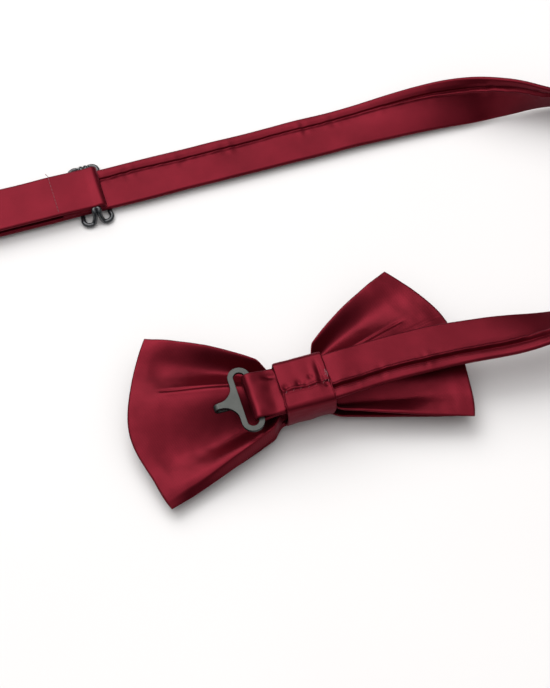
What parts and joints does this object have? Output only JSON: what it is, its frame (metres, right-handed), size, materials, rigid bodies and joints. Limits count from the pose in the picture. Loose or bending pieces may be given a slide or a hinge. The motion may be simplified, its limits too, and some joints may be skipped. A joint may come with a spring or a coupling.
{
  "type": "bow tie",
  "caption": "Ready-tied satin bow tie on an adjustable neckband with a hook, an eye and a wire slide, lying on its face.",
  "frame": {"origin": "on the front face of the knot, which is the face the tie rests on", "axes": "+X along the bow towards the side the long strap leaves from, +Y towards the strap's return run, +Z towards the back of the tie"},
  "size_m": [0.341, 0.1488, 0.0297],
  "materials": {
    "satin": "burgundy satin, fine twill face",
    "interlining": "plain woven stiffening",
    "thread": "sewing thread",
    "hook_metal": "satin grey plate with dark edges",
    "slide_metal": "gloss black"
  },
  "bodies": {
    "bow": {"knot_wrap": "satin", "knot_interlining": "interlining", "knot_closing_stitches": "thread", "bow_rear_layer": "satin", "bow_rear_interlining": "interlining", "bow_front_layer": "satin", "bow_front_interlining": "interlining", "gather_thread": "thread", "neckband": "satin", "neckband_interlining": "interlining", "hook_tab": "satin", "hook_tab_stitches": "thread"},
    "hook": {"hook": "hook_metal"},
    "strap_turn": {"eye_fold": "satin"},
    "slide": {"slide_adjuster": "slide_metal", "slide_end": "satin", "slide_end_stitches": "thread"},
    "eye": {"eye": "slide_metal"}
  },
  "joints": [
    {"name": "hook_pivot", "type": "hinge", "parent": "bow", "child": "hook", "pos_m": [-0.0162, 0.001, 0.0169], "axis": [0, 1, 0], "range_deg": [-5, 120]},
    {"name": "eye_travel", "type": "slide", "parent": "bow", "child": "strap_turn", "axis": [1, 0, 0], "range_m": [-0.015, 0.05]},
    {"name": "slide_travel", "type": "slide", "parent": "strap_turn", "child": "slide", "axis": [1, 0, 0], "range_m": [-0.015, 0.05]},
    {"name": "eye_pivot", "type": "hinge", "parent": "strap_turn", "child": "eye", "pos_m": [-0.15, 0.1105, 0.00535], "axis": [0, 1, 0], "range_deg": [-30, 120]}
  ],
  "couplings": [
    {"joint": "slide_travel", "follows": "eye_travel", "ratio": 1}
  ]
}
